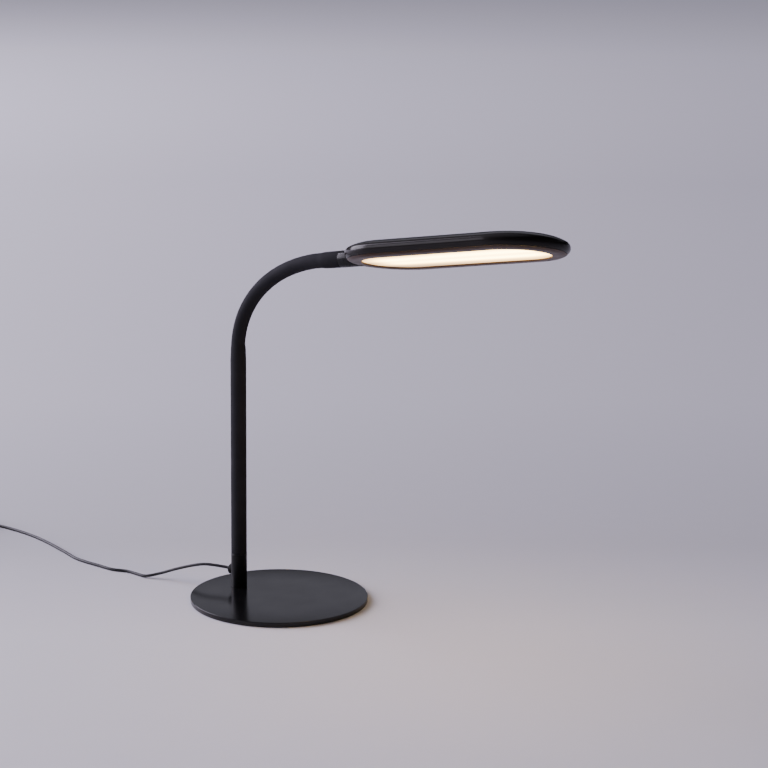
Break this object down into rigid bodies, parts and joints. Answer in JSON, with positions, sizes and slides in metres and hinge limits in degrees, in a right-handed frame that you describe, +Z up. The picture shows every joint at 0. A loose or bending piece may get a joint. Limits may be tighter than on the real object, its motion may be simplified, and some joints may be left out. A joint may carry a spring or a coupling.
{
  "type": "gooseneck desk lamp",
  "caption": "Desk lamp with a round plate foot, an upright, a sleeved gooseneck and a long flat light head that swivels, with a cord and a plug-in adaptor.",
  "frame": {"origin": "centre of the round foot, on the table that it stands on", "axes": "+Z up, +X from the stem towards the free end of the head, +Y to the left of that"},
  "size_m": [0.824, 0.194, 0.4126],
  "materials": {
    "foot_paint": "satin textured",
    "pad_rubber": "matte",
    "fastener_steel": "bright",
    "stem_gloss": "gloss",
    "tube_steel": "bright",
    "sleeve_rubber": "matte",
    "grommet_rubber": "matte",
    "collar_gloss": "gloss",
    "shell_gloss": "high gloss",
    "bezel_satin": "satin",
    "diffuser_opal": "frosted",
    "tray_white": "matte",
    "bush_plastic": "matte",
    "board_white": "satin",
    "chip_yellow": "gloss",
    "board_green": "satin",
    "parts_black": "gloss",
    "button_black": "satin",
    "cord_vinyl": "satin",
    "plug_plastic": "satin",
    "pin_metal": "bright"
  },
  "bodies": {
    "base": {"foot_plate": "foot_paint", "foot_pad": "pad_rubber", "stem_screw": "fastener_steel", "stem_dowel": "fastener_steel", "stem": "stem_gloss", "cord_grommet": "grommet_rubber", "upright_tube": "tube_steel", "inner_lead": "cord_vinyl", "gooseneck_00": "tube_steel", "sleeve_00": "sleeve_rubber", "cord": "cord_vinyl", "cord_coil": "cord_vinyl", "cord_tail": "cord_vinyl", "plug_case": "plug_plastic", "plug_pins": "pin_metal", "plug_boot": "cord_vinyl"},
    "link_01": {"gooseneck_01": "tube_steel", "sleeve_01": "sleeve_rubber"},
    "link_02": {"gooseneck_02": "tube_steel", "sleeve_02": "sleeve_rubber"},
    "link_03": {"gooseneck_03": "tube_steel", "sleeve_03": "sleeve_rubber"},
    "link_04": {"gooseneck_04": "tube_steel", "sleeve_04": "sleeve_rubber"},
    "link_05": {"gooseneck_05": "tube_steel", "sleeve_05": "sleeve_rubber"},
    "link_06": {"gooseneck_06": "tube_steel", "sleeve_06": "sleeve_rubber"},
    "link_07": {"gooseneck_07": "tube_steel", "sleeve_07": "sleeve_rubber"},
    "link_08": {"gooseneck_08": "tube_steel", "sleeve_08": "sleeve_rubber"},
    "link_09": {"gooseneck_09": "tube_steel", "sleeve_09": "sleeve_rubber"},
    "link_10": {"gooseneck_10": "tube_steel", "sleeve_10": "sleeve_rubber"},
    "neck_end": {"gooseneck_11": "tube_steel", "sleeve_11": "sleeve_rubber", "neck_collar": "collar_gloss", "swivel_clip": "fastener_steel"},
    "head": {"swivel_bush": "bush_plastic", "head_shell": "shell_gloss", "head_bezel": "bezel_satin", "diffuser": "diffuser_opal", "led_tray": "tray_white", "led_boards": "board_white", "led_chips": "chip_yellow", "tray_screws": "fastener_steel", "driver_board": "board_green", "driver_parts": "parts_black", "button_switch": "parts_black"},
    "button": {"power_button": "button_black"}
  },
  "joints": [
    {"name": "neck_bend_1", "type": "hinge", "parent": "base", "child": "link_01", "pos_m": [-0.0515, 0, 0.2624], "axis": [0, 1, 0], "range_deg": [-14.95, 11.96]},
    {"name": "neck_sway_1", "type": "hinge", "parent": "link_01", "child": "link_02", "pos_m": [-0.04901, 0, 0.27628], "axis": [0.9662, 0, -0.2579], "range_deg": [-14, 14]},
    {"name": "neck_bend_2", "type": "hinge", "parent": "link_02", "child": "link_03", "pos_m": [-0.04425, 0, 0.28955], "axis": [0, 1, 0], "range_deg": [-17.95, 14.37]},
    {"name": "neck_sway_2", "type": "hinge", "parent": "link_03", "child": "link_04", "pos_m": [-0.03748, 0, 0.30192], "axis": [0.8398, 0, -0.5429], "range_deg": [-14, 14]},
    {"name": "neck_bend_3", "type": "hinge", "parent": "link_04", "child": "link_05", "pos_m": [-0.02898, 0, 0.31317], "axis": [0, 1, 0], "range_deg": [-15.5, 12.4]},
    {"name": "neck_sway_3", "type": "hinge", "parent": "link_05", "child": "link_06", "pos_m": [-0.01905, 0, 0.32317], "axis": [0.6644, 0, -0.7473], "range_deg": [-14, 14]},
    {"name": "neck_bend_4", "type": "hinge", "parent": "link_06", "child": "link_07", "pos_m": [-0.00795, 0, 0.33187], "axis": [0, 1, 0], "range_deg": [-13.04, 10.44]},
    {"name": "neck_sway_4", "type": "hinge", "parent": "link_07", "child": "link_08", "pos_m": [0.00407, 0, 0.33925], "axis": [0.4789, 0, -0.8779], "range_deg": [-14, 14]},
    {"name": "neck_bend_5", "type": "hinge", "parent": "link_08", "child": "link_09", "pos_m": [0.01678, 0, 0.34536], "axis": [0, 1, 0], "range_deg": [-10.59, 8.47]},
    {"name": "neck_sway_5", "type": "hinge", "parent": "link_09", "child": "link_10", "pos_m": [0.02999, 0, 0.35027], "axis": [0.3098, 0, -0.9508], "range_deg": [-14, 14]},
    {"name": "neck_bend_6", "type": "hinge", "parent": "link_10", "child": "neck_end", "pos_m": [0.04356, 0, 0.35409], "axis": [0, 1, 0], "range_deg": [-8.67, 6.94]},
    {"name": "head_swivel", "type": "hinge", "parent": "neck_end", "child": "head", "pos_m": [0.09881, 0, 0.36323], "axis": [0.9866, 0, 0.1633], "range_deg": [-60, 90]},
    {"name": "power_press", "type": "slide", "parent": "head", "child": "button", "axis": [0.1573, -0.2689, -0.9502], "range_m": [0, 0.0005], "stiffness_N_per_m": 600, "springref_m": -0.002}
  ],
  "couplings": [
    {"joint": "neck_bend_2", "follows": "neck_bend_1", "ratio": 1.1998},
    {"joint": "neck_sway_2", "follows": "neck_sway_1", "ratio": 1},
    {"joint": "neck_bend_3", "follows": "neck_bend_1", "ratio": 1.0355},
    {"joint": "neck_sway_3", "follows": "neck_sway_1", "ratio": 1},
    {"joint": "neck_bend_4", "follows": "neck_bend_1", "ratio": 0.8713},
    {"joint": "neck_sway_4", "follows": "neck_sway_1", "ratio": 1},
    {"joint": "neck_bend_5", "follows": "neck_bend_1", "ratio": 0.707},
    {"joint": "neck_sway_5", "follows": "neck_sway_1", "ratio": 1},
    {"joint": "neck_bend_6", "follows": "neck_bend_1", "ratio": 0.5785}
  ]
}
